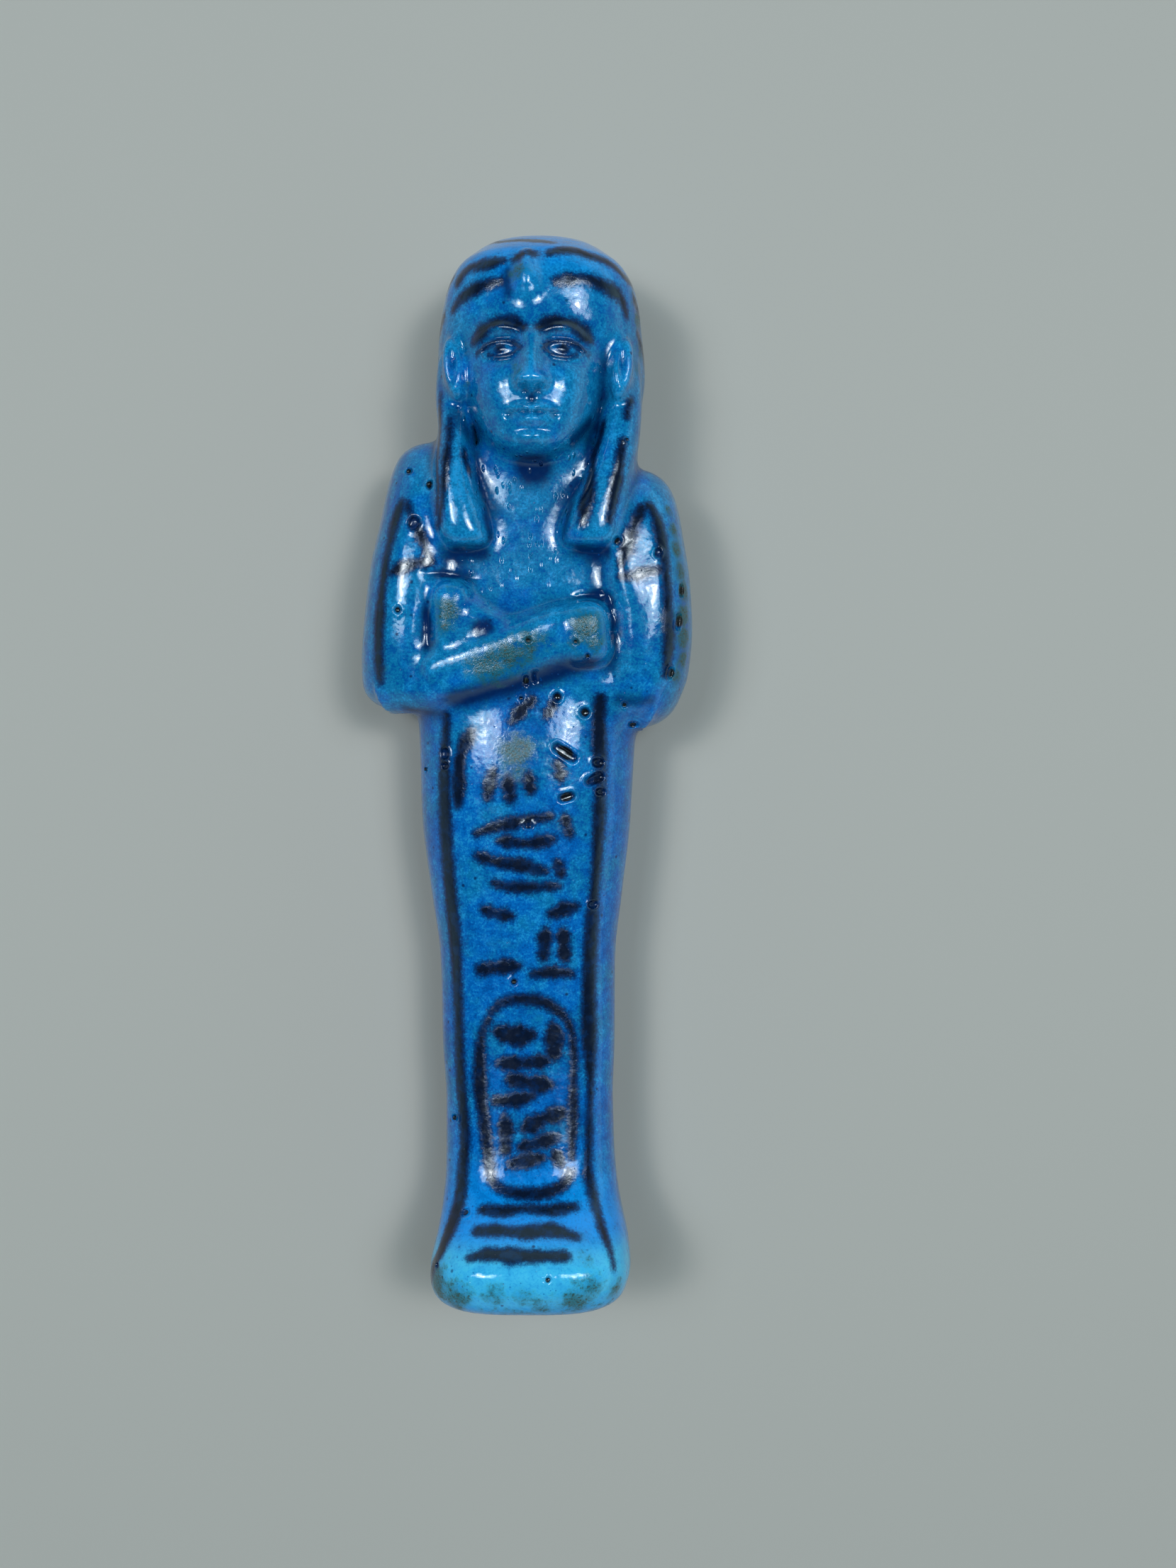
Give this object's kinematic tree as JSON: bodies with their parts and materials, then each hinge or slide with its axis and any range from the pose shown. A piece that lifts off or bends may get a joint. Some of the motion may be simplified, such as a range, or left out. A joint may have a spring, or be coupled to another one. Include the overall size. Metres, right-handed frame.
{
  "type": "ushabti figurine",
  "caption": "Small moulded figurine of a wrapped figure with crossed arms, long wig and a cobra at the brow, in glossy blue glaze with dark painted lines. It lies on its flat back.",
  "frame": {"origin": "on the supporting surface, below the middle of the figure's box, lying on its back", "axes": "+Y towards the crown of the head, +Z out of the face and chest, +X to the right of someone who looks at the face with the crown upwards"},
  "size_m": [0.0354, 0.1116, 0.0224],
  "materials": {
    "faience": "glossy deep blue glaze with dark painted lines and a few pits"
  },
  "bodies": {
    "root": {"ushabti_figurine": "faience"}
  },
  "joints": []
}
